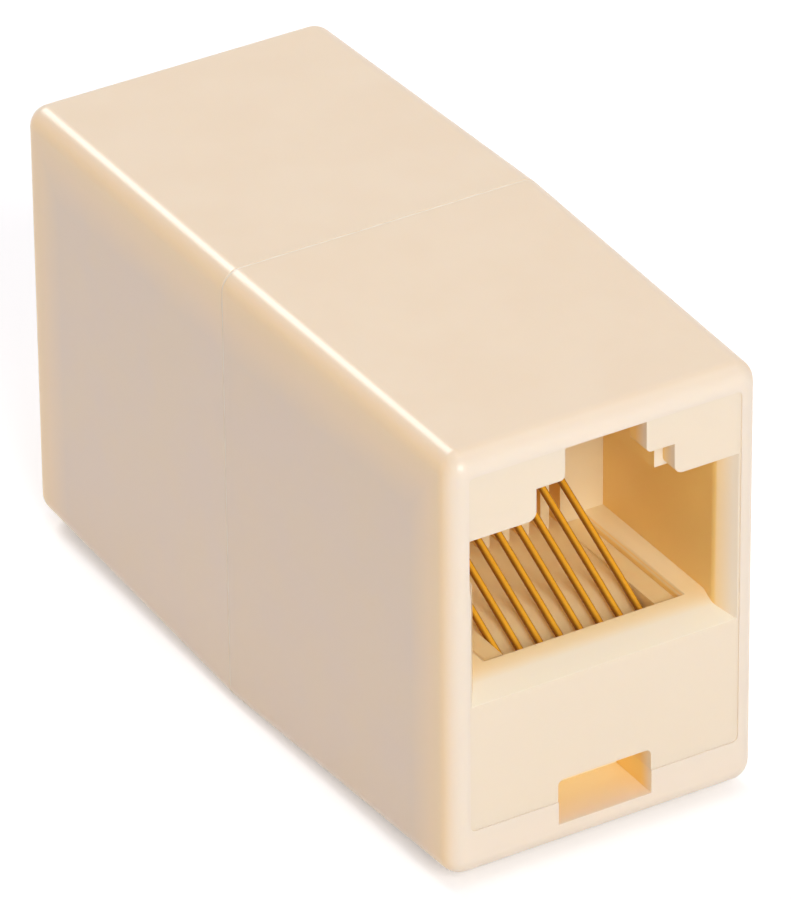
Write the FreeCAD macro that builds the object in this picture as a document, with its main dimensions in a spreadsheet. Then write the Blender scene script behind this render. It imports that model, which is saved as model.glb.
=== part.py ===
import FreeCAD, Part
import math
import os
import re

import Sketcher

# In-line coupler for two eight-way modular plugs, in millimetres.
#
# Two moulded half shells meet at a lap joint halfway along. Each holds a pressed-in jack body,
# a contact carrier pushed into that body from behind, and eight gold-plated wire contacts.
# Eight insulated leads join the two sets of contacts, and turn over once on the way, so that
# way 1 of one jack meets way 1 of the other.
#
# The frame: +Y runs along the coupler, +Z is up, on the latch side of both jacks, and the origin
# is under the middle of the seam, on the surface that the coupler lies on. Every piece of the
# front half is drawn in place, at negative Y. The rear half is the front half turned about Z.
# "Depth" means the distance in from a half's own end face.

doc = FreeCAD.newDocument("inline_coupler")

# ---------------------------------------------------------------- driving dimensions
SIZES = [
    ("coupler_length", 36.75, "end face to end face"),
    # outside of one half, at its end face and at the seam
    ("end_width", 15.64, "width over the sides at the end face"),
    ("end_low", 0.6, "underside at the end face, above the resting surface"),
    ("end_high", 21.83, "top at the end face"),
    ("seam_width", 16.34, "width over the sides at the seam"),
    ("seam_high", 22.16, "top at the seam; the underside is at 0 there"),
    ("long_edge_round", 1.0, "radius of the four long edges"),
    ("end_edge_round", 1.0, "radius of the edges round the end face"),
    ("seam_edge_break", 0.07, "small bevel where each half meets the seam"),
    # pocket for the jack body, its stop and the lead chamber behind it
    ("jack_width", 13.68, "width of the jack body and of its pocket"),
    ("jack_low", 2.97, "underside of the jack body"),
    ("jack_high", 20.79, "top of the jack body"),
    ("jack_long", 11.97, "depth of the jack body"),
    ("jack_corner", 0.29, "radius of the jack body's long edges"),
    ("jack_set_back", 0.06, "the jack body's face lies this far inside the end face"),
    ("stop_thick", 1.14, "thickness of the frame that stops the jack body"),
    ("stop_reach", 0.95, "how far that frame stands in from the pocket's walls"),
    ("chamber_low", 1.52, "floor of the lead chamber"),
    ("chamber_corner", 0.76, "corner radius of the lead chamber"),
    ("lap_long", 1.14, "length of the lap joint"),
    ("lap_side", 0.67, "thickness of the tongue at the sides"),
    ("lap_top", 0.7, "thickness of the tongue at the top"),
    ("lap_low", 0.76, "thickness of the tongue underneath"),
    # snap barb on each side of the jack body
    ("barb_depth", 5.7, "depth of the barb's catching face"),
    ("barb_long", 2.85, "length of its ramp"),
    ("barb_low", 9.5, "lower end of the barb"),
    ("barb_tall", 3.8, "height of the barb"),
    ("barb_proud", 0.33, "how far it stands out of the side"),
    # pry notch under the jack, in the body and in the shell's lip
    ("notch_width", 4.75, "width of the notch"),
    ("notch_high", 4.07, "top of the notch, in the jack body"),
    ("notch_low", 1.82, "bottom of the notch, in the shell"),
    ("notch_deep", 2.85, "depth of the notch"),
    ("notch_corner", 0.29, "radius of the notch's corners"),
    # plug cavity
    ("cavity_width", 12.16, "width for the plug"),
    ("cavity_low", 10.2, "floor of the cavity"),
    ("cavity_high", 17.67, "ceiling of the cavity"),
    ("cavity_deep", 9.82, "depth of the cavity, from the jack body's face"),
    ("mouth_width", 13.48, "width of the flared mouth"),
    ("mouth_low", 9.29, "lower edge of the flared mouth"),
    ("mouth_deep", 0.95, "depth of the flared sides"),
    ("lip_deep", 1.65, "depth of the sloping lip under the mouth"),
    ("mouth_round", 0.6, "radius where the flared sides meet the cavity"),
    # latch side of the cavity
    ("latch_width", 6.08, "width of the chamber that the plug's latch springs into"),
    ("latch_entry_width", 6.94, "width of the latch slot at the face"),
    ("latch_entry_deep", 0.95, "depth of that wider part"),
    ("latch_entry_round", 0.43, "radius of its lower corners"),
    ("latch_shelf", 19.2, "underside of the two shoulders that hold the latch"),
    ("keyway_width", 4.09, "gap between the shoulders, for the latch's tab"),
    ("keyway_round", 0.25, "radius of the shoulders' edges along that gap"),
    ("shoulder_thick", 1.35, "thickness of the shoulders"),
    # slot for the side key of a keyed plug
    ("key_low", 14.82, "lower end of the side key slot"),
    ("key_slope", 0.71, "rise of the slot's sloping lower end, towards the outside"),
    # chamber for the contact carrier, and the window over it
    ("carrier_width", 9.73, "width of the contact carrier and of the window"),
    ("carrier_low", 7.41, "floor of the carrier's chamber"),
    ("carrier_high", 9.88, "ceiling of the carrier's chamber, under the comb"),
    ("ledge_round", 0.28, "radius of the window's long edges"),
    ("comb_slot", 0.57, "width of a comb slot"),
    ("comb_high", 13.78, "top of the comb slots"),
    ("comb_deep", 1.33, "depth of the comb slots"),
    # cores that keep the jack body's walls even, open at its rear
    ("core_low", 4.66, "floor of the lower core"),
    ("core_high", 6.27, "ceiling of the lower core"),
    ("core_width", 10.83, "width of both cores"),
    ("core_deep", 7.98, "depth of the lower core, from the rear"),
    ("back_core_low", 14.16, "floor of the upper core"),
    ("back_core_high", 19.38, "ceiling of the upper core"),
    ("back_core_deep", 1.33, "depth of the upper core, from the rear"),
    # contacts
    ("ways", 8, "contacts in a jack"),
    ("pitch", 1.02, "distance from contact to contact"),
    ("wire", 0.35, "diameter of the contact wire"),
    ("bend", 0.76, "radius of the contact's bend, at the middle of the wire"),
    ("bend_depth", 2.76, "depth of the centre of that bend"),
    ("rise", 27.0, "slope of the sprung arm, in degrees"),
    ("arm_end", 10.6, "depth of the arm's free end"),
    ("tail", 0.57, "how far the contact stands out of the jack body's rear"),
    # contact carrier
    ("nose_land", 0.38, "length of the carrier's nose before its grooved sole"),
    ("crease_depth", 4.75, "depth of the crease in the carrier's hollow"),
    ("crease_high", 9.68, "height of that crease"),
    ("cheek", 1.0, "thickness of the carrier's cheeks, on each side of its hollow"),
    # leads
    ("lead", 0.8, "diameter of an insulated lead"),
    ("lead_stub", 1.05, "straight part at each end of a lead"),
    ("lead_bend", 1.24, "radius of a lead's bends"),
]
ROW_OF_FIRST_SIZE = 2

sheet = doc.addObject("Spreadsheet::Sheet", "sizes")
for row, (alias, value, meaning) in enumerate(SIZES, start=ROW_OF_FIRST_SIZE):
    sheet.set(f"A{row}", alias)
    sheet.set(f"B{row}", str(value))
    sheet.set(f"C{row}", meaning)
    sheet.setAlias(f"B{row}", alias)
doc.recompute()

SHEET_PREFIX = {alias: f"sizes.{alias}" for alias, _, _ in SIZES}
NO_TURN = FreeCAD.Rotation()
HALF_TURN = FreeCAD.Rotation(FreeCAD.Vector(0, 0, 1), 180)
SAME_PLACE = 1e-4
SMALLEST_CHANGE = 1e-3


def bound(text):
    """An expression with every alias in it read from the sheet."""
    return re.sub("[a-z_]+", lambda word: SHEET_PREFIX.get(word.group(), word.group()), text)


def evaluate(text):
    """The present value of an expression, in millimetres or degrees."""
    return float(sheet.evalExpression(bound(text)))


# ---------------------------------------------------------------- bodies and sketches
def new_body(name):
    body = doc.addObject("PartDesign::Body", name)
    body.Label = name
    return body


def new_sketch(body, name, role, offset="0"):
    """A sketch on one of the body's own origin planes, moved along the plane's normal."""
    sketch = body.newObject("Sketcher::SketchObject", f"{body.Name}_{name}")
    plane = next(item for item in body.Origin.OriginFeatures if item.Role == role)
    sketch.AttachmentSupport = [(plane, "")]
    sketch.MapMode = "FlatFace"
    sketch.setExpression("AttachmentOffset.Base.z", bound(offset))
    return sketch


def face_sketch(body, name, depth="0"):
    """A sketch that looks in at the end face, at a depth behind it: X to the right, Z up."""
    return new_sketch(body, name, "XZ_Plane", f"coupler_length / 2 - ({depth})")


def constrain(sketch, name, expression, kind, *ends):
    """Adds a dimension, names it and binds it to the sheet."""
    index = sketch.addConstraint(Sketcher.Constraint(kind, *ends, evaluate(expression)))
    sketch.renameConstraint(index, name)
    sketch.setExpression(f"Constraints.{name}", bound(expression))


def outline(sketch, name, width, low, high, radius=None, left=None):
    """A rectangle, rounded if it has a radius, centred on the sketch's upright axis.

    With left given, its left side lies that far to the left of the axis instead.
    """
    left = left or f"({width}) / 2"
    wide, base, top, reach = (evaluate(text) for text in (width, low, high, left))
    bend = evaluate(radius) if radius else 0.0
    corners = [(-reach, base), (wide - reach, base), (wide - reach, top), (-reach, top)]
    heading = [(1, 0), (0, 1), (-1, 0), (0, -1)]
    first = sketch.GeometryCount
    for side, (ahead_x, ahead_z) in enumerate(heading):
        (start_x, start_z), (end_x, end_z) = corners[side], corners[(side + 1) % 4]
        sketch.addGeometry(Part.LineSegment(
            FreeCAD.Vector(start_x + bend * ahead_x, start_z + bend * ahead_z, 0),
            FreeCAD.Vector(end_x - bend * ahead_x, end_z - bend * ahead_z, 0)), False)
    if radius:
        for side, (ahead_x, ahead_z) in enumerate(heading):
            corner_x, corner_z = corners[(side + 1) % 4]
            next_x, next_z = heading[(side + 1) % 4]
            centre = FreeCAD.Vector(corner_x + bend * (next_x - ahead_x),
                                    corner_z + bend * (next_z - ahead_z), 0)
            circle = Part.Circle(centre, FreeCAD.Vector(0, 0, 1), bend)
            start = math.radians(90 * side - 90)
            sketch.addGeometry(Part.ArcOfCircle(circle, start, start + math.pi / 2), False)
    for side in range(4):
        line, following = first + side, first + (side + 1) % 4
        if radius:
            sketch.addConstraint(Sketcher.Constraint("Tangent", line, 2, line + 4, 1))
            sketch.addConstraint(Sketcher.Constraint("Tangent", line + 4, 2, following, 1))
        else:
            sketch.addConstraint(Sketcher.Constraint("Coincident", line, 2, following, 1))
        sketch.addConstraint(Sketcher.Constraint("Vertical" if side % 2 else "Horizontal", line))
    if radius:
        for side in range(1, 4):
            sketch.addConstraint(Sketcher.Constraint("Equal", first + 4, first + 4 + side))
        constrain(sketch, f"{name}_radius", radius, "Radius", first + 4)
    constrain(sketch, f"{name}_left", left, "DistanceX", first + 3, 1, -1, 1)
    constrain(sketch, f"{name}_width", width, "DistanceX", first + 3, 1, first + 1, 1)
    if base < 0:
        constrain(sketch, f"{name}_low", f"-({low})", "DistanceY", first, 1, -1, 1)
    else:
        constrain(sketch, f"{name}_low", low, "DistanceY", -1, 1, first, 1)
    constrain(sketch, f"{name}_tall", f"({high}) - ({low})", "DistanceY", first, 1, first + 2, 1)


def polygon(sketch, name, points):
    """A closed outline of straight sides; each point is a pair of expressions, across and up."""
    places = [tuple(evaluate(text) for text in point) for point in points]
    for index, (across, up) in enumerate(places):
        next_across, next_up = places[(index + 1) % len(places)]
        sketch.addGeometry(Part.LineSegment(FreeCAD.Vector(across, up, 0),
                                            FreeCAD.Vector(next_across, next_up, 0)), False)
    for index, (across, up) in enumerate(points):
        following = (index + 1) % len(points)
        sketch.addConstraint(Sketcher.Constraint("Coincident", index, 2, following, 1))
        place(sketch, f"{name}_{index}", index, 1, across, up)


def place(sketch, name, element, point, across, up):
    """Holds one point of a sketch at a distance across and up from the origin."""
    for axis, kind, expression in (("across", "DistanceX", across), ("up", "DistanceY", up)):
        if evaluate(expression) < 0:
            constrain(sketch, f"{name}_{axis}", f"-({expression})", kind, element, point, -1, 1)
        else:
            constrain(sketch, f"{name}_{axis}", expression, kind, -1, 1, element, point)


# ---------------------------------------------------------------- features
def pad(body, sketch, length, backwards=True):
    """Adds the sketch's outline, pushed into the coupler or, if not backwards, out of it."""
    feature = body.newObject("PartDesign::Pad", f"{sketch.Name}_pad")
    feature.Profile = sketch
    feature.Reversed = backwards
    feature.setExpression("Length", bound(length))
    return settle(body, feature, grows=True)


def pocket(body, sketch, length, backwards=False):
    """Cuts the sketch's outline into the coupler or, if backwards, towards its end face."""
    feature = body.newObject("PartDesign::Pocket", f"{sketch.Name}_pocket")
    feature.Profile = sketch
    feature.Reversed = backwards
    feature.setExpression("Length", bound(length))
    return settle(body, feature, grows=False)


def repeat_ways(body, feature):
    """Repeats a cut made for the first way at every other way, across the jack."""
    pattern = body.newObject("PartDesign::LinearPattern", f"{feature.Name}_ways")
    pattern.Originals = [feature]
    axis = next(item for item in body.Origin.OriginFeatures if item.Role == "X_Axis")
    pattern.Direction = (axis, [""])
    pattern.setExpression("Length", bound("pitch * (ways - 1)"))
    pattern.setExpression("Occurrences", bound("ways"))
    body.Tip = pattern
    return settle(body, pattern, grows=False)


def settle(body, feature, grows):
    """Recomputes, and stops if the feature changed nothing or changed it the wrong way."""
    before = body.Shape.Volume if not body.Shape.isNull() else 0.0
    doc.recompute()
    change = body.Shape.Volume - before
    if (change > 0) is not grows or abs(change) < SMALLEST_CHANGE:
        raise RuntimeError(f"{feature.Name} changed the volume by {change:.4f}")
    return feature


def edge_names(feature, wanted):
    """Names of the feature's edges whose bounding box passes the test."""
    return [f"Edge{index}" for index, edge in enumerate(feature.Shape.Edges, start=1)
            if wanted(edge.BoundBox)]


def dress(body, kind, feature, amount, wanted):
    """Rounds or bevels the wanted edges of a feature by an amount from the sheet."""
    edges = edge_names(feature, wanted)
    if not edges:
        raise RuntimeError(f"no edge to dress on {feature.Name}")
    dressed = body.newObject(f"PartDesign::{kind}", f"{feature.Name}_{kind.lower()}")
    dressed.Base = (feature, edges)
    dressed.setExpression("Radius" if kind == "Fillet" else "Size", bound(amount))
    body.Tip = dressed
    doc.recompute()
    return dressed


def near(first, second):
    return abs(first - second) < SAME_PLACE


def along_the_jack(box, aside, high):
    """True if a bounding box is a line along Y, at that height and that far to either side."""
    return (near(box.ZMin, high) and near(box.ZMax, high)
            and near(abs(box.XMin), aside) and near(box.XMin, box.XMax))


def at_depth(box, depth):
    """True if a bounding box lies flat at that depth behind the end face."""
    level = evaluate(f"{depth} - coupler_length / 2")
    return near(box.YMin, level) and near(box.YMax, level)


# ---------------------------------------------------------------- half shells
def make_shell(name, has_tongue):
    """One half of the housing: a drafted sleeve, widest at the seam, with a pocket for a jack.

    The front half ends in a tongue all round, which fits a rebate in the rear half.
    """
    body = new_body(name)
    sleeve = body.newObject("PartDesign::AdditiveWedge", f"{name}_sleeve")
    for side, expression in (
            ("Xmin", "-end_width / 2"), ("Xmax", "end_width / 2"),
            ("Ymin", "-coupler_length / 2"), ("Ymax", "0"),
            ("Zmin", "end_low"), ("Zmax", "end_high"),
            ("X2min", "-seam_width / 2"), ("X2max", "seam_width / 2"),
            ("Z2min", "0"), ("Z2max", "seam_high")):
        sleeve.setExpression(side, bound(expression))
    settle(body, sleeve, grows=True)
    half_long = evaluate("coupler_length / 2")
    softened = dress(body, "Fillet", sleeve, "long_edge_round",
                     lambda box: near(box.YLength, half_long))
    rounded = dress(body, "Fillet", softened, "end_edge_round", lambda box: at_depth(box, "0"))
    dress(body, "Chamfer", rounded, "seam_edge_break",
          lambda box: at_depth(box, "coupler_length / 2"))

    bore = face_sketch(body, "bore")
    outline(bore, "bore", "jack_width", "jack_low", "jack_high", "jack_corner")
    pocket(body, bore, "jack_long + jack_set_back")
    stop = face_sketch(body, "stop", "jack_long + jack_set_back")
    outline(stop, "stop", "jack_width - 2 * stop_reach", "jack_low + stop_reach",
            "jack_high - stop_reach", "chamber_corner")
    pocket(body, stop, "stop_thick")
    chamber = face_sketch(body, "chamber", "jack_long + jack_set_back + stop_thick")
    outline(chamber, "chamber", "jack_width", "chamber_low", "jack_high", "chamber_corner")
    pocket(body, chamber, "coupler_length / 2 - jack_long - jack_set_back - stop_thick")

    notch = face_sketch(body, "notch")
    outline(notch, "notch", "notch_width", "notch_low", "jack_low + stop_reach")
    pocket(body, notch, "notch_deep")
    recess = new_sketch(body, "barb_recess", "XY_Plane", "barb_low")
    outline(recess, "recess", "jack_width + 2 * barb_proud", "barb_depth - coupler_length / 2",
            "barb_depth + barb_long - coupler_length / 2")
    pocket(body, recess, "barb_tall", backwards=True)

    tongue = face_sketch(body, "lap", "coupler_length / 2")
    outline(tongue, "lap", "jack_width + 2 * lap_side", "chamber_low - lap_low",
            "jack_high + lap_top", "chamber_corner + lap_side")
    if has_tongue:
        outline(tongue, "hollow", "jack_width", "chamber_low", "jack_high", "chamber_corner")
        pad(body, tongue, "lap_long")
    else:
        pocket(body, tongue, "lap_long", backwards=True)
    return body


# ---------------------------------------------------------------- jack bodies
def make_jack_body(name):
    """The moulding that a plug goes into, drawn in the front half.

    Seen from the end: a mouth with flared sides and a sloping lip, a latch slot and keyway
    above it, the slot for a keyed plug's side key on the left, and a flush panel with a pry
    notch below. A window in the cavity's floor lets the contacts' arms rise from the carrier
    chamber to the comb in the back wall, which keeps them apart.
    """
    body = new_body(name)
    block = face_sketch(body, "block", "jack_set_back")
    outline(block, "block", "jack_width", "jack_low", "jack_high", "jack_corner")
    pad(body, block, "jack_long")

    cavity = face_sketch(body, "cavity", "jack_set_back")
    outline(cavity, "cavity", "cavity_width", "cavity_low", "cavity_high")
    bored = pocket(body, cavity, "cavity_deep")
    flare = body.newObject("PartDesign::SubtractiveWedge", f"{name}_flare")
    face = "jack_set_back - coupler_length / 2"
    lip_slope = "(cavity_low - mouth_low) / lip_deep"
    for side, expression in (
            ("Xmin", "-mouth_width / 2"), ("Xmax", "mouth_width / 2"),
            ("Ymin", face), ("Ymax", f"{face} + mouth_deep"),
            ("Zmin", "mouth_low"), ("Zmax", "cavity_high"),
            ("X2min", "-cavity_width / 2"), ("X2max", "cavity_width / 2"),
            ("Z2min", f"mouth_low + {lip_slope} * mouth_deep"), ("Z2max", "cavity_high")):
        flare.setExpression(side, bound(expression))
    settle(body, flare, grows=False)
    lip = new_sketch(body, "lip", "YZ_Plane", "-cavity_width / 2")
    polygon(lip, "lip", [(face, "mouth_low"), (f"{face} + lip_deep", "cavity_low"),
                         (f"{face} + lip_deep", "cavity_low + wire"), (face, "cavity_low + wire")])
    sloped = pocket(body, lip, "cavity_width", backwards=True)
    throat_depth = "jack_set_back + mouth_deep"
    dress(body, "Fillet", sloped, "mouth_round", lambda box: at_depth(box, throat_depth)
          and near(box.XMin, box.XMax) and near(abs(box.XMin), evaluate("cavity_width / 2")))

    entry = face_sketch(body, "latch_entry", "jack_set_back")
    outline(entry, "entry", "latch_entry_width", "cavity_high - latch_entry_round", "latch_shelf")
    entered = pocket(body, entry, "latch_entry_deep")
    dress(body, "Fillet", entered, "latch_entry_round", lambda box: along_the_jack(
        box, evaluate("latch_entry_width / 2"), evaluate("cavity_high")))
    channel = face_sketch(body, "latch_channel", "jack_set_back")
    outline(channel, "channel", "latch_width", "cavity_high - latch_entry_round", "latch_shelf")
    pocket(body, channel, "cavity_deep")
    keyway = face_sketch(body, "keyway", "jack_set_back")
    outline(keyway, "keyway", "keyway_width", "latch_shelf - latch_entry_round", "end_high")
    keyed = pocket(body, keyway, "cavity_deep")
    dress(body, "Fillet", keyed, "keyway_round", lambda box: along_the_jack(
        box, evaluate("keyway_width / 2"), evaluate("latch_shelf")))
    chamber = face_sketch(body, "latch_chamber", "jack_set_back + shoulder_thick")
    outline(chamber, "chamber", "latch_width", "latch_shelf - latch_entry_round", "end_high")
    pocket(body, chamber, "cavity_deep - shoulder_thick")
    key = face_sketch(body, "side_key", "jack_set_back")
    polygon(key, "key", [("-end_width / 2", "key_low + key_slope"),
                         ("-jack_width / 2", "key_low + key_slope"),
                         ("-mouth_width / 2", "key_low"), ("-latch_width / 2", "key_low"),
                         ("-latch_width / 2", "cavity_high"), ("-end_width / 2", "cavity_high")])
    pocket(body, key, "cavity_deep")

    carrier_space = face_sketch(body, "carrier_space", "jack_set_back + lip_deep")
    outline(carrier_space, "space", "carrier_width", "carrier_low", "carrier_high")
    pocket(body, carrier_space, "jack_long - lip_deep")
    window = face_sketch(body, "window", "jack_set_back + lip_deep")
    outline(window, "window", "carrier_width", "carrier_high - wire", "cavity_low + wire")
    opened = pocket(body, window, "cavity_deep - lip_deep")
    dress(body, "Fillet", opened, "ledge_round", lambda box: along_the_jack(
        box, evaluate("carrier_width / 2"), evaluate("cavity_low")))
    slot = face_sketch(body, "comb", "jack_set_back + cavity_deep - wire")
    outline(slot, "slot", "comb_slot", "carrier_high - wire", "comb_high",
            left="pitch * (ways - 1) / 2 + comb_slot / 2")
    repeat_ways(body, pocket(body, slot, "comb_deep + wire"))

    notch = face_sketch(body, "notch", "jack_set_back")
    outline(notch, "notch", "notch_width", "notch_low", "notch_high", "notch_corner")
    pocket(body, notch, "notch_deep - jack_set_back")
    core = face_sketch(body, "core", "jack_set_back + jack_long")
    outline(core, "core", "core_width", "core_low", "core_high")
    pocket(body, core, "core_deep", backwards=True)
    back_core = face_sketch(body, "back_core", "jack_set_back + jack_long")
    outline(back_core, "core", "core_width", "back_core_low", "back_core_high")
    pocket(body, back_core, "back_core_deep", backwards=True)

    for side, sign in (("right", ""), ("left", "-")):
        barb = new_sketch(body, f"{side}_barb", "XY_Plane", "barb_low")
        catch, run_out = "barb_depth - coupler_length / 2", "barb_depth + barb_long - coupler_length / 2"
        polygon(barb, "barb", [(f"{sign}(jack_width / 2)", catch),
                               (f"{sign}(jack_width / 2 + barb_proud)", catch),
                               (f"{sign}(jack_width / 2)", run_out)])
        pad(body, barb, "barb_tall", backwards=False)
    return body


# ---------------------------------------------------------------- contact carriers
def make_carrier(name):
    """The block that the contacts lie under and bend round, pushed into the jack from behind.

    It has a cheek on each side. Between them is a hollow with a crease, which clears the
    contacts' arms, a round nose, and a sole with a groove for each contact.
    """
    body = new_body(name)
    nose = "(bend - wire / 2)"
    bend_at, bend_high = "bend_depth - coupler_length / 2", "(carrier_low + wire / 2 + bend)"
    rear = "jack_set_back + jack_long - coupler_length / 2"
    back_wall = "jack_set_back + cavity_deep - coupler_length / 2"
    cheeks = new_sketch(body, "cheeks", "YZ_Plane", "-carrier_width / 2")
    polygon(cheeks, "cheeks", [(f"{bend_at} - {nose}", "carrier_high"),
                               (f"{bend_at} - {nose}", "carrier_low"),
                               (rear, "carrier_low"), (rear, "carrier_high")])
    pad(body, cheeks, "carrier_width", backwards=False)
    hollow = new_sketch(body, "hollow", "YZ_Plane", "cheek - carrier_width / 2")
    polygon(hollow, "hollow", [
        (f"{bend_at} - bend", "carrier_high + wire"),
        (f"{bend_at} - bend", f"{bend_high} - {nose}"),
        (bend_at, f"{bend_high} - {nose}"),
        (bend_at, f"{bend_high} + {nose}"),
        ("crease_depth - coupler_length / 2", "crease_high"),
        (back_wall, "carrier_high"),
        (back_wall, "carrier_high + wire"),
    ])
    pocket(body, hollow, "carrier_width - 2 * cheek", backwards=True)
    sole = new_sketch(body, "sole", "YZ_Plane", "cheek - carrier_width / 2")
    polygon(sole, "sole", [
        (f"{bend_at} - bend", f"{bend_high} - {nose}"), (f"{bend_at} - bend", "carrier_low - wire"),
        (f"{bend_at} + nose_land", "carrier_low - wire"),
        (f"{bend_at} + nose_land", f"{bend_high} - {nose}")])
    pocket(body, sole, "carrier_width - 2 * cheek", backwards=True)
    round_nose = new_sketch(body, "nose", "YZ_Plane", "cheek - carrier_width / 2")
    circle = Part.Circle(FreeCAD.Vector(evaluate(bend_at), evaluate(bend_high), 0),
                         FreeCAD.Vector(0, 0, 1), evaluate(nose))
    round_nose.addGeometry(circle, False)
    constrain(round_nose, "nose_radius", nose, "Radius", 0)
    place(round_nose, "nose", 0, 3, bend_at, bend_high)
    pad(body, round_nose, "carrier_width - 2 * cheek", backwards=False)
    groove = face_sketch(body, "groove", "bend_depth + nose_land")
    outline(groove, "groove", "wire", "carrier_low - wire", "carrier_low + wire",
            left="pitch * (ways - 1) / 2 + wire / 2")
    repeat_ways(body, pocket(body, groove, "coupler_length / 2"))
    return body


# ---------------------------------------------------------------- contacts
def make_contact(name):
    """One sprung contact, drawn at the middle of the front jack, from its tail to its tip.

    The wire runs forward along the carrier's sole, turns back round its nose and rises across
    the cavity to the comb. Its round section is drawn with eight flats, to keep it light.
    """
    body = new_body(name)
    run = "carrier_low + wire / 2"
    tail_at = "jack_set_back + jack_long + tail - coupler_length / 2"
    bend_at, bend_high = "bend_depth - coupler_length / 2", "carrier_low + wire / 2 + bend"
    tip_at = "arm_end - coupler_length / 2"
    rise, radius = math.radians(evaluate("rise")), evaluate("bend")
    centre = FreeCAD.Vector(evaluate(bend_at), evaluate(bend_high), 0)
    top = centre + FreeCAD.Vector(-radius * math.sin(rise), radius * math.cos(rise), 0)
    tip = top + FreeCAD.Vector(1, math.tan(rise), 0) * (evaluate(tip_at) - top.x)

    path = new_sketch(body, "path", "YZ_Plane")
    path.addGeometry(Part.LineSegment(FreeCAD.Vector(evaluate(tail_at), evaluate(run), 0),
                                      FreeCAD.Vector(centre.x, evaluate(run), 0)), False)
    circle = Part.Circle(centre, FreeCAD.Vector(0, 0, 1), radius)
    path.addGeometry(Part.ArcOfCircle(circle, rise + math.pi / 2, 3 * math.pi / 2), False)
    path.addGeometry(Part.LineSegment(top, tip), False)
    path.addConstraint(Sketcher.Constraint("Tangent", 0, 2, 1, 2))
    path.addConstraint(Sketcher.Constraint("Tangent", 1, 1, 2, 1))
    path.addConstraint(Sketcher.Constraint("Horizontal", 0))
    place(path, "tail", 0, 1, tail_at, run)
    constrain(path, "bend_radius", "bend", "Radius", 1)
    constrain(path, "bend_at", f"-({bend_at})", "DistanceX", 1, 3, -1, 1)
    constrain(path, "tip_at", f"-({tip_at})", "DistanceX", 2, 2, -1, 1)
    index = path.addConstraint(Sketcher.Constraint("Angle", 2, rise))
    path.renameConstraint(index, "rise")
    path.setExpression("Constraints.rise", bound("rise * 1 deg"))

    profile = new_sketch(body, "profile", "XZ_Plane", f"-({tail_at})")
    flat, corner = "wire / 2", "wire / 2 * tan(22.5 deg)"
    signs = [("", ""), ("-", ""), ("-", "-"), ("", "-")]
    corners = []
    for quarter, (sign_x, sign_z) in enumerate(signs):
        pair = [(f"{sign_x}({flat})", f"{run} + {sign_z}({corner})"),
                (f"{sign_x}({corner})", f"{run} + {sign_z}({flat})")]
        corners += pair if quarter % 2 == 0 else pair[::-1]
    polygon(profile, "section", corners)

    pipe = body.newObject("PartDesign::AdditivePipe", f"{name}_wire")
    pipe.Profile = profile
    pipe.Spine = (path, ["Edge1", "Edge2", "Edge3"])
    settle(body, pipe, grows=True)
    return body


def way_across(way, turned):
    """Where a way lies across the coupler; ways count from the left as a jack is looked into."""
    across = f"pitch * ({way} - (ways + 1) / 2)"
    return f"-{across}" if turned else across


# ---------------------------------------------------------------- leads
TURN_STEPS = 4
LEAD_SIDES = 6


def lead_route(offset, height, reach):
    """Corner points of a lead that starts to one side at the rear of the front jack.

    The eight leads keep one flat row, which turns half a turn about its own middle as it
    goes back, an eighth of a turn at a time.
    """
    stub = evaluate("lead_stub")
    points = [FreeCAD.Vector(offset, -reach, height)]
    for step in range(TURN_STEPS + 1):
        turn = math.pi * step / TURN_STEPS
        along = (stub - reach) * (1 - 2 * step / TURN_STEPS)
        points.append(FreeCAD.Vector(offset * math.cos(turn), along, height + offset * math.sin(turn)))
    points.append(FreeCAD.Vector(-offset, reach, height))
    return points


def rounded_path(points, radius):
    """Straight runs through the points, joined by tangent arcs of one radius."""
    edges, start = [], points[0]
    for before, corner, after in zip(points, points[1:], points[2:]):
        arriving = (corner - before).normalize()
        leaving = (after - corner).normalize()
        turn = arriving.getAngle(leaving)
        cut = radius * math.tan(turn / 2)
        first, last = corner - arriving * cut, corner + leaving * cut
        inward = (leaving - arriving).normalize()
        middle = corner + inward * (radius / math.cos(turn / 2) - radius)
        edges.append(Part.LineSegment(start, first).toShape())
        edges.append(Part.Arc(first, middle, last).toShape())
        start = last
    edges.append(Part.LineSegment(start, points[-1]).toShape())
    return Part.Wire(edges)


def make_lead(name, offset):
    """One insulated lead from a front contact's tail to the matching rear contact's."""
    height = evaluate("carrier_low + wire / 2")
    reach = evaluate("coupler_length / 2 - jack_set_back - jack_long - tail")
    path = rounded_path(lead_route(offset, height, reach), evaluate("lead_bend"))
    radius = evaluate("lead / 2") / math.cos(math.pi / LEAD_SIDES)
    angles = [(2 * side + 1) * math.pi / LEAD_SIDES for side in range(LEAD_SIDES + 1)]
    section = Part.makePolygon([
        FreeCAD.Vector(offset + radius * math.cos(angle), -reach, height + radius * math.sin(angle))
        for angle in angles])
    lead = doc.addObject("Part::Feature", name)
    lead.Label = name
    lead.Shape = path.makePipeShell([section], True, True)
    return lead


# ---------------------------------------------------------------- the whole coupler
pieces = []
for half, turned in (("front", False), ("rear", True)):
    of_this_half = [make_shell(f"{half}_shell", has_tongue=not turned),
                    make_jack_body(f"{half}_jack_body"), make_carrier(f"{half}_contact_carrier")]
    contacts = [make_contact(f"{half}_contact_{way}") for way in range(1, int(evaluate("ways")) + 1)]
    for piece in of_this_half + contacts:
        piece.Placement = FreeCAD.Placement(FreeCAD.Vector(), HALF_TURN if turned else NO_TURN)
    for way, contact in enumerate(contacts, start=1):
        contact.setExpression("Placement.Base.x", bound(way_across(way, turned)))
    pieces += of_this_half + contacts
for way in range(1, int(evaluate("ways")) + 1):
    pieces.append(make_lead(f"lead_{way}", evaluate(way_across(way, turned=False))))
doc.recompute()

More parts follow.
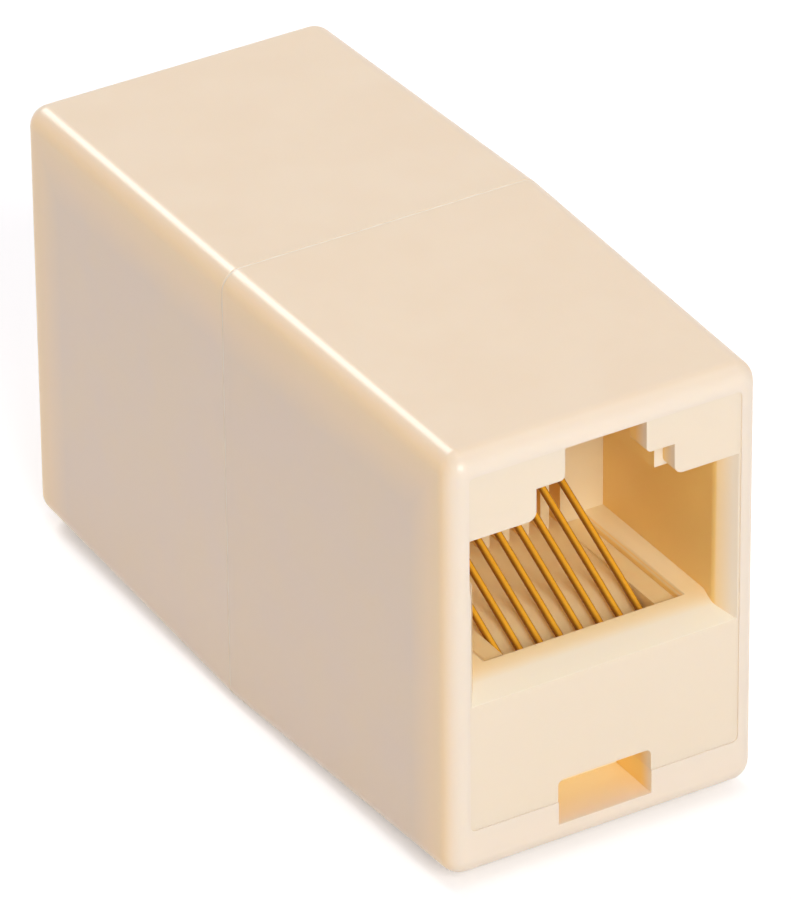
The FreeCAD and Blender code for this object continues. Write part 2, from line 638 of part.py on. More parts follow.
for item in doc.Objects:
    if {"Invalid", "Error"} & set(item.State):
        raise RuntimeError(f"{item.Label} did not build: {item.State}")
os.makedirs("parts", exist_ok=True)
for piece in pieces:
    if piece.Shape.isNull() or not piece.Shape.isValid():
        raise RuntimeError(f"{piece.Label} has no valid shape")
    piece.Shape.exportStep(f"parts/{piece.Label}.step")
    print(f"{piece.Label}: {piece.Shape.Volume:.3f} mm3, {len(piece.Shape.Solids)} solid")
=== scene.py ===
import math

import bmesh
import bpy
import numpy as np
from mathutils import Matrix, Vector


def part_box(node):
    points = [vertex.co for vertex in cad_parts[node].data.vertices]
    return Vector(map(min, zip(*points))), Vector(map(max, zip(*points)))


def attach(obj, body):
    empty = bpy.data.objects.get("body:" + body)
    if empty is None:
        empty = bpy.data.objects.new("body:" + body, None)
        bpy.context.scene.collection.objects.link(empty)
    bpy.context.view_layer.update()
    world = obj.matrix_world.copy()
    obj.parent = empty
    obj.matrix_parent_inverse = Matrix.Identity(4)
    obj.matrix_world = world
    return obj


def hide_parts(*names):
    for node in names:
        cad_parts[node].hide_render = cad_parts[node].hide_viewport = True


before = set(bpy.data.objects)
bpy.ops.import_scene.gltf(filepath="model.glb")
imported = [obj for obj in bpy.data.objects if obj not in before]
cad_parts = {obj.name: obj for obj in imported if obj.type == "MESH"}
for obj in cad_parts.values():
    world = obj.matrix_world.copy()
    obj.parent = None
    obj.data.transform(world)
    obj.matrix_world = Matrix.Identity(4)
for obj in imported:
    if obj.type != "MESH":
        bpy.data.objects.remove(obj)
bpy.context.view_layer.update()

# ---------------------------------------------------------------- camera
# A long lens above the front left corner, so that the coupler's long edges stay nearly
# parallel. It aims at a point inside the coupler, a little under half way up.
MM = 0.001
CAMERA_AZIMUTH = math.radians(-30.84)
CAMERA_ELEVATION = math.radians(31.29)
CAMERA_ROLL = math.radians(-0.58)
CAMERA_TARGET = Vector((0.615, 0.11, 10.31)) * MM
CAMERA_DISTANCE = 401.1 * MM
CAMERA_LENS = 361.0
CAMERA_SENSOR = 36.0

camera_data = bpy.data.cameras.new("camera")
camera = bpy.data.objects.new("camera", camera_data)
bpy.context.scene.collection.objects.link(camera)
towards_camera = Vector((math.sin(CAMERA_AZIMUTH) * math.cos(CAMERA_ELEVATION),
                         -math.cos(CAMERA_AZIMUTH) * math.cos(CAMERA_ELEVATION),
                         math.sin(CAMERA_ELEVATION)))
camera.location = CAMERA_TARGET + towards_camera * CAMERA_DISTANCE
camera.rotation_mode = "QUATERNION"
camera.rotation_quaternion = ((-towards_camera).to_track_quat("-Z", "Y")
                              @ Matrix.Rotation(CAMERA_ROLL, 4, "Z").to_quaternion())
camera_data.lens = CAMERA_LENS
camera_data.sensor_width = CAMERA_SENSOR
camera_data.clip_start, camera_data.clip_end = 0.01, 10.0
bpy.context.scene.camera = camera


# ---------------------------------------------------------------- half shells
# Two drafted sleeves that meet halfway along, injection moulded in ivory ABS and bonded at a
# lap joint. Every edge of the moulding is a little rounded. Painted colour and glow stand in for
# orange light through thin parts, shade on the sides and in the notch, and light on the end rim.
SHELL_EDGE = 0.04 * MM
SHELL_ROUGHNESS = 0.28
SHELL_GRAIN = (0.16 * MM, 0.0004 * MM)
SHELL_CLOUD_SIZE = 3.5 * MM
SHELL_IVORY = (0.945, 0.768, 0.572)
SHELL_CLOUD = (0.93, 0.75, 0.55)
# The sides are painted a duller, darker ivory than the top: painted shade.
SHADED_SIDE_IVORY = (0.888, 0.708, 0.549)
SHADED_SIDE_CLOUD = (0.905, 0.715, 0.522)
# A paler ivory at the end rim: a painted highlight.
RIM_HIGHLIGHT_IVORY = (0.955, 0.81, 0.655)
# An orange band on the sides near the end and the top: a painted glow of light through the edges.
PAINTED_EDGE_GLOW = (1.0, 0.735, 0.47)
# The pale lip colour is painted light; the honey deeper in and the amber on recess walls are
# painted shade.
PAINTED_LIP_LIGHT = (1.0, 0.9, 0.72)
RECESS_SHADE_HONEY = (0.935, 0.81, 0.56)
WALL_SHADE_AMBER = (1.0, 0.65, 0.22)
# The colour and strengths of a painted orange glow that the surface gives off itself.
PAINTED_GLOW_ORANGE = (1.0, 0.56, 0.04)
NOTCH_PAINTED_GLOW = 0.085
EDGE_PAINTED_GLOW = 0.05
INSIDE_SPREAD = 0.4 * MM
# Each of these fades runs between two depths behind the end face, the deeper one first.
HONEY_FADE = (2.0 * MM, 0.8 * MM)
WALL_FADE = (0.9 * MM, 0.2 * MM)
LIP_FADE = (1.7 * MM, 0.9 * MM)
EDGE_FADE = (3.2 * MM, 0.9 * MM)
RIM_FADE = (0.7 * MM, 0.1 * MM)
NOTCH_FADE = (0.7 * MM, 0.05 * MM)
# These run between two heights, or two distances from the middle.
TOP_FADE = (18.2 * MM, 21.0 * MM)
NOTCH_BOTTOM = (1.0 * MM, 1.3 * MM)
NOTCH_TOP = (3.0 * MM, 3.2 * MM)
NOTCH_SIDE = (2.4 * MM, 2.6 * MM)


def moulded_copy(node, name, edge_round):
    """A copy of a moulded CAD piece with its flat faces whole and its sharp edges rounded."""
    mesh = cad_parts[node].data.copy()
    mesh.name = name
    mesh.materials.clear()
    work = bmesh.new()
    work.from_mesh(mesh)
    bmesh.ops.remove_doubles(work, verts=work.verts, dist=0.002 * MM)
    bmesh.ops.dissolve_limit(work, angle_limit=math.radians(0.5), verts=work.verts,
                             edges=work.edges)
    work.to_mesh(mesh)
    work.free()
    mesh.polygons.foreach_set("use_smooth", np.ones(len(mesh.polygons), dtype=bool))
    piece = bpy.data.objects.new(name, mesh)
    bpy.context.scene.collection.objects.link(piece)
    rounded = piece.modifiers.new("rounded_edges", "BEVEL")
    rounded.width = edge_round
    rounded.segments = 3
    rounded.limit_method = "ANGLE"
    rounded.angle_limit = math.radians(40)
    rounded.miter_outer = "MITER_ARC"
    flat = piece.modifiers.new("flat_faces_stay_flat", "WEIGHTED_NORMAL")
    flat.keep_sharp = False
    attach(piece, "root")
    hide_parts(node)
    return piece


def empty_material(name):
    """A material with nothing but its shader and output; returns both and the node tree."""
    material = bpy.data.materials.new(name)
    material.use_nodes = True
    tree = material.node_tree
    tree.nodes.clear()
    output = tree.nodes.new("ShaderNodeOutputMaterial")
    shader = tree.nodes.new("ShaderNodeBsdfPrincipled")
    tree.links.new(shader.outputs["BSDF"], output.inputs["Surface"])
    return material, tree, shader


def add_noise(tree, feature, detail, stretch=(1.0, 1.0, 1.0)):
    """A cloud pattern on the piece's own coordinates, with lumps about one feature across."""
    place = tree.nodes.new("ShaderNodeTexCoord")
    sized = tree.nodes.new("ShaderNodeMapping")
    sized.inputs["Scale"].default_value = [axis / feature for axis in stretch]
    noise = tree.nodes.new("ShaderNodeTexNoise")
    noise.inputs["Scale"].default_value = 1.0
    noise.inputs["Detail"].default_value = detail
    tree.links.new(place.outputs["Object"], sized.inputs["Vector"])
    tree.links.new(sized.outputs["Vector"], noise.inputs["Vector"])
    return noise.outputs["Fac"]


def spread(tree, value, low, high, to_low, to_high):
    """A value carried from one range to another, in proportion, and held at its ends."""
    ramp = tree.nodes.new("ShaderNodeMapRange")
    for socket, number in (("From Min", low), ("From Max", high),
                           ("To Min", to_low), ("To Max", to_high)):
        ramp.inputs[socket].default_value = number
    tree.links.new(value, ramp.inputs["Value"])
    return ramp.outputs["Result"]


def blend_colours(tree, amount, first, second):
    """One colour where the amount is 0 and the other where it is 1; either may be a socket."""
    mix = tree.nodes.new("ShaderNodeMix")
    mix.data_type = "RGBA"
    tree.links.new(amount, mix.inputs["Factor"])
    for colour, socket in ((first, mix.inputs["A"]), (second, mix.inputs["B"])):
        if isinstance(colour, tuple):
            socket.default_value = (*colour, 1.0)
        else:
            tree.links.new(colour, socket)
    return mix.outputs["Result"]


def grain(tree, shader, feature, depth):
    """A fine raised grain, its bumps about one feature across and one depth high."""
    bump = tree.nodes.new("ShaderNodeBump")
    bump.inputs["Strength"].default_value = 1.0
    bump.inputs["Distance"].default_value = depth
    tree.links.new(add_noise(tree, feature, 3.0), bump.inputs["Height"])
    tree.links.new(bump.outputs["Normal"], shader.inputs["Normal"])


def set_plastic(shader, roughness):
    """What all the ivory mouldings share: gloss, and light that spreads a little inside."""
    shader.inputs["IOR"].default_value = 1.53
    shader.inputs["Subsurface Weight"].default_value = 0.3
    shader.inputs["Subsurface Radius"].default_value = (1.0, 0.85, 0.6)
    shader.inputs["Subsurface Scale"].default_value = INSIDE_SPREAD
    shader.inputs["Roughness"].default_value = roughness


def combine(tree, operation, first, second):
    """Two values put through one operation, such as MULTIPLY, or MAXIMUM for the larger."""
    step = tree.nodes.new("ShaderNodeMath")
    step.operation = operation
    tree.links.new(first, step.inputs[0])
    tree.links.new(second, step.inputs[1])
    return step.outputs["Value"]


def sizes_of_parts(tree, vector):
    """The sizes of a vector's x, y and z, whatever their signs."""
    parts = tree.nodes.new("ShaderNodeSeparateXYZ")
    tree.links.new(vector, parts.inputs["Vector"])
    sizes = []
    for axis in "XYZ":
        size = tree.nodes.new("ShaderNodeMath")
        size.operation = "ABSOLUTE"
        tree.links.new(parts.outputs[axis], size.inputs[0])
        sizes.append(size.outputs["Value"])
    return sizes


def place_sizes(tree):
    """How far a point lies sideways, along and up from the coupler's origin."""
    place = tree.nodes.new("ShaderNodeTexCoord")
    return sizes_of_parts(tree, place.outputs["Object"])


def facing_sizes(tree):
    """How much a surface faces sideways, along and up or down, each from 0 to 1."""
    facing = tree.nodes.new("ShaderNodeNewGeometry")
    return sizes_of_parts(tree, facing.outputs["Normal"])


def behind(tree, beyond, end_face, fade, at_depth=1.0, at_face=0.0):
    """One value deeper than a fade and another nearer the end face, blended in between."""
    return spread(tree, beyond, end_face - fade[0], end_face - fade[1], at_depth, at_face)


def painted_recess_light_and_shade(tree, ivory, end_face):
    """The given ivory on an end face, painted honey shade within, and painted amber on recess
    walls.

    The painted honey shade comes from one to two millimetres behind the end face. Faces that look
    straight across the coupler get painted amber shade within one. A sloping lip is paler, painted
    light, with an inner edge of painted amber shade.
    """
    _, beyond, _ = place_sizes(tree)
    across, _, upward = facing_sizes(tree)
    wall = combine(tree, "MULTIPLY", spread(tree, across, 0.6, 0.9, 0.0, 1.0),
                   behind(tree, beyond, end_face, WALL_FADE))
    slope = combine(tree, "MULTIPLY", spread(tree, upward, 0.7, 0.8, 0.0, 0.8),
                    spread(tree, upward, 0.88, 0.97, 1.0, 0.2))
    lip = combine(tree, "MULTIPLY", slope, behind(tree, beyond, end_face, LIP_FADE))
    outer = blend_colours(tree, slope, ivory, PAINTED_LIP_LIGHT)
    inner = blend_colours(tree, behind(tree, beyond, end_face, HONEY_FADE), outer, RECESS_SHADE_HONEY)
    return blend_colours(tree, combine(tree, "MAXIMUM", wall, lip), inner, WALL_SHADE_AMBER)


# The sides get painted shade, and their last millimetres near the end and the top a painted orange
# band.
def painted_side_masks(tree, end_face):
    """Two amounts: 1 on the sides, and 1 on their last millimetres before the end and the top.

    The second falls away over about two and a half millimetres.
    """
    _, beyond, up = place_sizes(tree)
    nearest = combine(tree, "MAXIMUM", behind(tree, beyond, end_face, EDGE_FADE, 0.0, 1.0),
                      spread(tree, up, *TOP_FADE, 0.0, 1.0))
    side = spread(tree, facing_sizes(tree)[0], 0.5, 0.9, 0.0, 1.0)
    return side, combine(tree, "MULTIPLY", nearest, side)


def painted_glow(tree, shader, strength):
    """A painted orange glow, at the given strength, for the light that thin walls let through."""
    shader.inputs["Emission Color"].default_value = (*PAINTED_GLOW_ORANGE, 1.0)
    tree.links.new(strength, shader.inputs["Emission Strength"])


def in_notch(tree, end_face):
    """1 in the part of the pry notch that is cut in a half shell, and 0 elsewhere on it."""
    sideways, beyond, up = place_sizes(tree)
    low = combine(tree, "MULTIPLY", spread(tree, up, *NOTCH_BOTTOM, 0.0, 1.0),
                  spread(tree, up, *NOTCH_TOP, 1.0, 0.0))
    middle = combine(tree, "MULTIPLY", low, spread(tree, sideways, *NOTCH_SIDE, 1.0, 0.0))
    return combine(tree, "MULTIPLY", middle, behind(tree, beyond, end_face, NOTCH_FADE))


shell_material, tree, shader = empty_material("shell_abs")
shell_end = -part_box("front_shell")[0][1]
# In the notch: painted light and shade, and a painted glow.
painted_notch = in_notch(tree, shell_end)
# Masks for painted shade on the sides and a painted orange band near the end and the top.
side, painted_glow_edge = painted_side_masks(tree, shell_end)
clouds = spread(tree, add_noise(tree, SHELL_CLOUD_SIZE, 2.0), 0.35, 0.65, 0.0, 1.0)
ivory = blend_colours(tree, side, blend_colours(tree, clouds, SHELL_IVORY, SHELL_CLOUD),
                      blend_colours(tree, clouds, SHADED_SIDE_IVORY, SHADED_SIDE_CLOUD))
# A painted orange band near the end and the top: painted light.
ivory = blend_colours(tree, painted_glow_edge, ivory, PAINTED_EDGE_GLOW)
# A paler end rim: a painted highlight.
highlight_rim = behind(tree, place_sizes(tree)[1], shell_end, RIM_FADE, 0.0, 1.0)
ivory = blend_colours(tree, highlight_rim, ivory, RIM_HIGHLIGHT_IVORY)
tree.links.new(blend_colours(tree, painted_notch, ivory, painted_recess_light_and_shade(tree, ivory, shell_end)),
               shader.inputs["Base Color"])
# A painted orange glow in the notch and near the edges, given off by the surface itself.
painted_glow(tree, shader,
              combine(tree, "MAXIMUM", spread(tree, painted_notch, 0.0, 1.0, 0.0, NOTCH_PAINTED_GLOW),
                      spread(tree, painted_glow_edge, 0.0, 1.0, 0.0, EDGE_PAINTED_GLOW)))
set_plastic(shader, SHELL_ROUGHNESS)
grain(tree, shader, *SHELL_GRAIN)
for half in ("front", "rear"):
    shell = moulded_copy(f"{half}_shell", f"{half}_sleeve", SHELL_EDGE)
    shell.data.materials.append(shell_material)


# ---------------------------------------------------------------- seam flash
# A hair-thin, uneven bead of the same plastic, squeezed out in the groove where the two half
# shells are bonded. It runs all the way round and stays below their outside.
FLASH_INSET = 0.052 * MM
FLASH_CORNER = 0.95 * MM
FLASH_RADIUS = 0.036 * MM
FLASH_SIDES = 10
FLASH_POINTS_PER_SIDE = 160
FLASH_POINTS_PER_CORNER = 14
# Paler than the shells' ivory: a painted highlight along the seam.
FLASH_HIGHLIGHT_IVORY = (1.0, 0.9, 0.76)


def new_piece(name, verts, faces, material, flat_ends=0):
    """A smooth piece at the origin that rides on the coupler; its last faces may stay flat."""
    mesh = bpy.data.meshes.new(name)
    mesh.from_pydata(verts.tolist(), [], faces)
    smooth = np.ones(len(mesh.polygons), dtype=bool)
    smooth[len(smooth) - flat_ends:] = False
    mesh.polygons.foreach_set("use_smooth", smooth)
    mesh.materials.append(material)
    mesh.update()
    piece = bpy.data.objects.new(name, mesh)
    bpy.context.scene.collection.objects.link(piece)
    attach(piece, "root")
    return piece


def round_cornered_loop(half_width, low, high, radius, per_side, per_corner):
    """Points and outward directions round a rectangle with rounded corners, in x and z.

    Each corner's points are its centre plus the radius times (cosine, sine) of an even
    sweep of 90 degrees, and evenly spaced points join the corners.
    """
    middles = np.array([[half_width - radius, high - radius], [radius - half_width, high - radius],
                        [radius - half_width, low + radius], [half_width - radius, low + radius]])
    angle = np.arange(4)[:, None] * np.pi / 2 + np.linspace(0, np.pi / 2, per_corner)
    outward = np.stack([np.cos(angle), np.sin(angle)], axis=-1)
    corners = middles[:, None] + radius * outward
    share = np.linspace(0, 1, per_side, endpoint=False)[1:, None]
    following = np.roll(corners[:, 0], -1, axis=0)
    straight = corners[:, None, -1] * (1 - share) + following[:, None] * share
    along = np.repeat(outward[:, None, -1], per_side - 1, axis=1)
    points = np.concatenate([corners, straight], axis=1).reshape(-1, 2)
    return points, np.concatenate([outward, along], axis=1).reshape(-1, 2)


flash_material, tree, shader = empty_material("flash_abs")
shader.inputs["Base Color"].default_value = (*FLASH_HIGHLIGHT_IVORY, 1.0)
shader.inputs["Roughness"].default_value = 0.3
seam_low, seam_high = (np.array(corner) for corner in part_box("front_shell"))
loop, outward = round_cornered_loop(seam_high[0] - FLASH_INSET, seam_low[2] + FLASH_INSET,
                                    seam_high[2] - FLASH_INSET, FLASH_CORNER,
                                    FLASH_POINTS_PER_SIDE, FLASH_POINTS_PER_CORNER)
round_loop = np.linspace(0, 2 * np.pi, len(loop), endpoint=False)
thickness = FLASH_RADIUS + MM * (0.008 * np.sin(37 * round_loop)
                                 + 0.005 * np.sin(91 * round_loop + 1) * np.sin(5 * round_loop))
angle = np.linspace(0, 2 * np.pi, FLASH_SIDES, endpoint=False)
out = thickness[:, None] * np.cos(angle)
verts = np.stack([loop[:, :1] + outward[:, :1] * out, thickness[:, None] * np.sin(angle),
                  loop[:, 1:] + outward[:, 1:] * out], axis=-1).reshape(-1, 3)
ring = np.arange(len(loop))[:, None] * FLASH_SIDES
beside = (np.arange(FLASH_SIDES) + 1) % FLASH_SIDES
next_ring = np.roll(ring, -1, axis=0)
quads = np.stack([ring + np.arange(FLASH_SIDES), ring + beside, next_ring + beside,
                  next_ring + np.arange(FLASH_SIDES)], axis=-1).reshape(-1, 4)
flash = new_piece("seam_flash", verts, quads.tolist(), flash_material)


# ---------------------------------------------------------------- jack bodies
# A jack in each end, moulded in the same ivory plastic and pushed in until its barbs catch.
# Its deep, narrow walls get painted amber shade and a painted orange glow, for the light they
# pass on from one to another.
JACK_IVORY = (0.925, 0.785, 0.605)
JACK_EDGE = 0.045 * MM
JACK_ROUGHNESS = 0.34
JACK_GRAIN = (0.12 * MM, 0.0006 * MM)
JACK_FADE = (1.8 * MM, 0.8 * MM)
CAVITY_FLOOR = (4.2 * MM, 4.6 * MM)
# Strengths of a painted orange glow deep in the cavity, stronger on its lower part.
CAVITY_FLOOR_PAINTED_GLOW = 0.06
CAVITY_PAINTED_GLOW = 0.022

jack_material, tree, shader = empty_material("jack_abs")
jack_end = -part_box("front_jack_body")[0][1]
_, beyond, up = place_sizes(tree)
# Painted light and shade in the recesses, and a painted glow deep inside.
tree.links.new(painted_recess_light_and_shade(tree, JACK_IVORY, jack_end), shader.inputs["Base Color"])
painted_glow(tree, shader,
              combine(tree, "MULTIPLY", behind(tree, beyond, jack_end, JACK_FADE),
                      spread(tree, up, *CAVITY_FLOOR, CAVITY_FLOOR_PAINTED_GLOW, CAVITY_PAINTED_GLOW)))
set_plastic(shader, JACK_ROUGHNESS)
grain(tree, shader, *JACK_GRAIN)
for half in ("front", "rear"):
    jack = moulded_copy(f"{half}_jack_body", f"{half}_jack", JACK_EDGE)
    jack.data.materials.append(jack_material)


# ---------------------------------------------------------------- contact carriers
# A small moulded block under each jack's window, pushed in from behind. The contacts are
# formed round its nose, and their arms rise over the hollow between its cheeks.
CARRIER_EDGE = 0.08 * MM
CARRIER_ROUGHNESS = 0.36
CARRIER_GRAIN = (0.12 * MM, 0.003 * MM)
CARRIER_CLOUD_SIZE = 0.9 * MM
# Honey colours deeper than the ivory, painted shade of the cavity, and a faint painted orange
# glow.
CARRIER_SHADED_HONEY = (1.0, 0.8, 0.46)
CARRIER_SHADED_CLOUD = (1.0, 0.76, 0.42)
CARRIER_GLOW_ORANGE = (1.0, 0.56, 0.1)
CARRIER_PAINTED_GLOW = 0.025

carrier_material, tree, shader = empty_material("carrier_plastic")
clouds = spread(tree, add_noise(tree, CARRIER_CLOUD_SIZE, 3.0), 0.35, 0.65, 0.0, 1.0)
tree.links.new(blend_colours(tree, clouds, CARRIER_SHADED_HONEY, CARRIER_SHADED_CLOUD),
               shader.inputs["Base Color"])
set_plastic(shader, CARRIER_ROUGHNESS)
shader.inputs["Emission Color"].default_value = (*CARRIER_GLOW_ORANGE, 1.0)
shader.inputs["Emission Strength"].default_value = CARRIER_PAINTED_GLOW
grain(tree, shader, *CARRIER_GRAIN)
for half in ("front", "rear"):
    carrier = moulded_copy(f"{half}_contact_carrier", f"{half}_carrier", CARRIER_EDGE)
    carrier.data.materials.append(carrier_material)


# ---------------------------------------------------------------- contacts
# Eight springs in each jack, of round phosphor bronze wire with gold plating. Each runs
# forward under the carrier, turns back round its nose and springs up across the cavity.
WIRE = 0.35 * MM
SPRING_BEND = 0.76 * MM
SPRING_RISE = math.radians(27)
SOLE_RUN = 9.84 * MM
ARM_RUN = 9.19 * MM
ARM_DROOP = math.radians(1.0)
SPRING_POINTS = 260
GOLD = (1.0, 0.58, 0.05)
GOLD_STREAK = (1.0, 0.5, 0.03)
# Dark brown on the sides of each wire: painted shade.
GOLD_SHADED_FLANK = (0.34, 0.13, 0.01)
STREAK_WIDTH = 0.05 * MM


def tube_skin(centres, sideways, radii, sides=20):
    """A round skin along a path, closed by a flat disc at each end.

    Ring by ring, the centre plus the radius times (cosine of the angle along the sideways
    direction, made square to the path, and sine of it along the third direction).
    """
    ahead = np.gradient(centres, axis=0)
    ahead /= np.linalg.norm(ahead, axis=1, keepdims=True)
    across = sideways - ahead * np.sum(sideways * ahead, axis=1, keepdims=True)
    across /= np.linalg.norm(across, axis=1, keepdims=True)
    upward = np.cross(ahead, across)
    angle = np.linspace(0, 2 * np.pi, sides, endpoint=False)[:, None]
    rings = (centres[:, None] + radii[:, None, None]
             * (np.cos(angle) * across[:, None] + np.sin(angle) * upward[:, None]))
    start = np.arange(len(centres) - 1)[:, None] * sides + np.arange(sides)
    after = start - start % sides + (start + 1) % sides
    quads = np.stack([start, after, after + sides, start + sides], axis=-1).reshape(-1, 4)
    first, last = np.arange(sides)[::-1], np.arange(sides) + (len(centres) - 1) * sides
    return rings.reshape(-1, 3), quads.tolist() + [first.tolist(), last.tolist()]


def eased_ends(steps, radius, easing):
    """The radius along a path that is full between its ends and a quarter less at each end."""
    inward = np.minimum(steps, steps[-1] - steps) / easing
    return radius * (1 - 0.25 * np.clip(1 - inward, 0, 1) ** 2)


def spring_line(steps):
    """Inward and upward distance along a contact, by adding up short steps.

    The heading is straight out along the sole, then turns evenly through the bend, and then
    stays at the arm's slope, eased down a little towards the tip.
    """
    bend_run = SPRING_BEND * (math.pi - SPRING_RISE)
    turned = np.clip((steps - SOLE_RUN) / bend_run, 0, 1) * (math.pi - SPRING_RISE)
    eased = np.clip((steps - SOLE_RUN - bend_run) / ARM_RUN, 0, 1) ** 2 * ARM_DROOP
    heading = math.pi - turned - eased
    middle = (heading[1:] + heading[:-1]) / 2
    step = np.diff(steps)
    along = np.concatenate([[0], np.cumsum(np.cos(middle) * step)])
    up = np.concatenate([[0], np.cumsum(np.sin(middle) * step)])
    return along, up


gold, tree, shader = empty_material("gold_plating")
streaks = spread(tree, add_noise(tree, STREAK_WIDTH, 2.0, (1.0, 0.04, 1.0)),
                 0.3, 0.7, 0.0, 1.0)
plated = blend_colours(tree, streaks, GOLD, GOLD_STREAK)
# The sides of each wire are painted darker: painted shade.
shaded_flank = spread(tree, facing_sizes(tree)[0], 0.3, 0.85, 0.0, 1.0)
tree.links.new(blend_colours(tree, shaded_flank, plated, GOLD_SHADED_FLANK), shader.inputs["Base Color"])
shader.inputs["Metallic"].default_value = 0.1
tree.links.new(spread(tree, add_noise(tree, 0.6 * MM, 2.0), 0.3, 0.7, 0.2, 0.26),
               shader.inputs["Roughness"])
spring_steps = np.linspace(0, SOLE_RUN + SPRING_BEND * (math.pi - SPRING_RISE) + ARM_RUN,
                           SPRING_POINTS)
spring_along, spring_up = spring_line(spring_steps)
for half, turned in (("front", 1.0), ("rear", -1.0)):
    for way in range(1, 9):
        node = f"{half}_contact_{way}"
        low, high = (np.array(corner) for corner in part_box(node))
        tail = high[1] if turned > 0 else low[1]
        middle = (low[0] + high[0]) / 2
        centres = np.column_stack([np.full_like(spring_along, middle),
                                   tail + turned * spring_along,
                                   low[2] + WIRE / 2 + spring_up])
        sideways = np.tile([1.0, 0.0, 0.0], (len(centres), 1))
        verts, faces = tube_skin(centres, sideways,
                                 eased_ends(spring_steps, WIRE / 2, WIRE / 4))
        contact = new_piece(f"{half}_spring_{way}", verts, faces, gold, flat_ends=2)
        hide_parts(node)


# ---------------------------------------------------------------- leads
# Eight short wires in coloured PVC, each 0.8 mm over its insulation. They cross as one flat
# row that turns over between the jacks, so that way 1 of one jack meets way 1 of the other.
LEAD = 0.8 * MM
LEAD_STUB = 1.05 * MM
LEAD_POINTS = 90
LEAD_COLOURS = {"blue": (0.03, 0.13, 0.55), "orange": (0.85, 0.27, 0.03),
                "black": (0.02, 0.02, 0.02), "red": (0.62, 0.02, 0.02),
                "green": (0.03, 0.36, 0.09), "yellow": (0.88, 0.66, 0.04),
                "brown": (0.2, 0.08, 0.03), "white": (0.85, 0.84, 0.81)}


def lead_line(offset, reach, height, steps):
    """A lead's centres and the direction across its row.

    The row turns half a turn about its own middle between the stubs: x is the offset times
    the cosine of the turn, z the height plus the offset times its sine, y runs evenly. The
    turn follows a smooth step, so that each lead leaves its contact straight.
    """
    along = np.linspace(-reach, reach, steps)
    part = np.clip((along + reach - LEAD_STUB) / (2 * (reach - LEAD_STUB)), 0, 1)
    turn = np.pi * part * part * (3 - 2 * part)
    centres = np.column_stack([offset * np.cos(turn), along, height + offset * np.sin(turn)])
    sideways = np.column_stack([np.cos(turn), np.zeros_like(turn), np.sin(turn)])
    return centres, sideways


for way, (colour_name, colour) in enumerate(LEAD_COLOURS.items(), start=1):
    pvc, tree, shader = empty_material(f"{colour_name}_pvc")
    marks = spread(tree, add_noise(tree, 0.5 * MM, 3.0), 0.4, 0.6, 0.0, 1.0)
    tree.links.new(blend_colours(tree, marks, colour, tuple(0.85 * part for part in colour)),
                   shader.inputs["Base Color"])
    shader.inputs["Roughness"].default_value = 0.45
    grain(tree, shader, 0.08 * MM, 0.002 * MM)
    low, high = (np.array(corner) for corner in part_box(f"front_contact_{way}"))
    centres, sideways = lead_line((low[0] + high[0]) / 2, -high[1], low[2] + WIRE / 2,
                                  LEAD_POINTS)
    lead_steps = np.concatenate([[0], np.cumsum(np.linalg.norm(np.diff(centres, axis=0), axis=1))])
    verts, faces = tube_skin(centres, sideways, eased_ends(lead_steps, LEAD / 2, LEAD / 8))
    lead = new_piece(f"{colour_name}_lead", verts, faces, pvc, flat_ends=2)
    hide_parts(f"lead_{way}")


# ---------------------------------------------------------------- floor, world and lamps
# A white table in a white room whose light is very slightly pink, and three softboxes: at
# the camera's side, above the far end and overhead. The table shows white where nothing shades
# it and keeps the coupler's soft shadow.
FLOOR_REACH = 2.0
WHITE = (1.0, 1.0, 1.0)
FLOOR_GREY = (0.8, 0.8, 0.8)
FLOOR_GLOW = 0.3
ROOM_PINK = (1.0, 0.943, 0.985)
AMBIENT = 0.33
LAMP_TARGET = Vector((0.0, 0.0, 0.01))


def seen_directly(tree):
    """1 for a ray from the camera, or from a mirror or through glass, and 0 for other light."""
    path = tree.nodes.new("ShaderNodeLightPath")
    either = path.outputs["Is Camera Ray"]
    for kind in ("Is Glossy Ray", "Is Transmission Ray"):
        either = combine(tree, "MAXIMUM", either, path.outputs[kind])
    return either


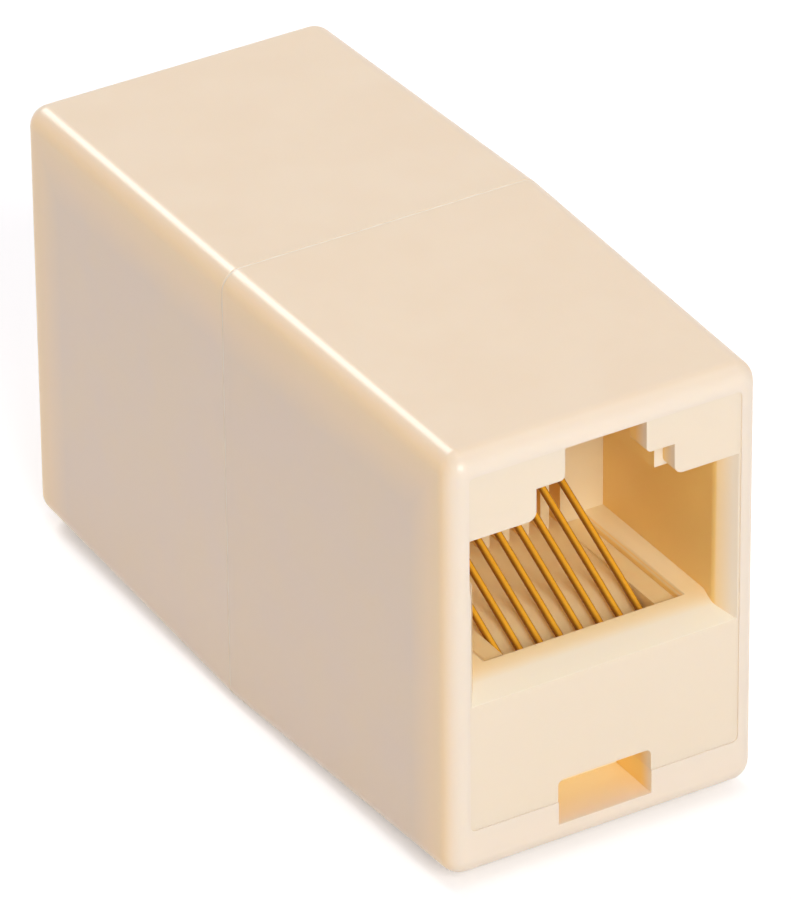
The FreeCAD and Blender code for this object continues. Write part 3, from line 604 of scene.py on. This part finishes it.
floor_mesh = bpy.data.meshes.new("floor")
floor_mesh.from_pydata([(-FLOOR_REACH, -FLOOR_REACH, 0), (FLOOR_REACH, -FLOOR_REACH, 0),
                        (FLOOR_REACH, FLOOR_REACH, 0), (-FLOOR_REACH, FLOOR_REACH, 0)], [],
                       [(0, 1, 2, 3)])
floor = bpy.data.objects.new("floor", floor_mesh)
bpy.context.scene.collection.objects.link(floor)
floor_paint, tree, shader = empty_material("floor_paint")
shown = seen_directly(tree)
tree.links.new(blend_colours(tree, shown, FLOOR_GREY, WHITE), shader.inputs["Base Color"])
shader.inputs["Emission Color"].default_value = (*WHITE, 1.0)
tree.links.new(spread(tree, shown, 0.0, 1.0, 0.0, FLOOR_GLOW), shader.inputs["Emission Strength"])
shader.inputs["Roughness"].default_value = 0.9
shader.inputs["Specular IOR Level"].default_value = 0.0
floor_mesh.materials.append(floor_paint)

world = bpy.data.worlds.new("white_room")
bpy.context.scene.world = world
world.use_nodes = True
room = world.node_tree.nodes["Background"]
plainly = seen_directly(world.node_tree)
world.node_tree.links.new(blend_colours(world.node_tree, plainly, ROOM_PINK, WHITE),
                          room.inputs["Color"])
world.node_tree.links.new(spread(world.node_tree, plainly, 0.0, 1.0, AMBIENT, 1.0),
                          room.inputs["Strength"])


def softbox(name, place, size, power):
    """A square area lamp at a place, turned to face a point inside the coupler."""
    data = bpy.data.lights.new(name, "AREA")
    data.shape = "SQUARE"
    data.size = size
    data.energy = power
    lamp = bpy.data.objects.new(name, data)
    bpy.context.scene.collection.objects.link(lamp)
    lamp.location = place
    lamp.rotation_mode = "QUATERNION"
    lamp.rotation_quaternion = (LAMP_TARGET - Vector(place)).to_track_quat("-Z", "Y")


softbox("camera_side_box", place=(-0.09, -0.522, 0.31), size=0.3, power=1.95)
softbox("far_side_box", place=(-0.028, 0.44, 0.416), size=0.2, power=1.1)
softbox("overhead_box", place=(0.1, -0.05, 0.6), size=0.4, power=0.5)
bpy.context.scene.view_settings.view_transform = "Standard"
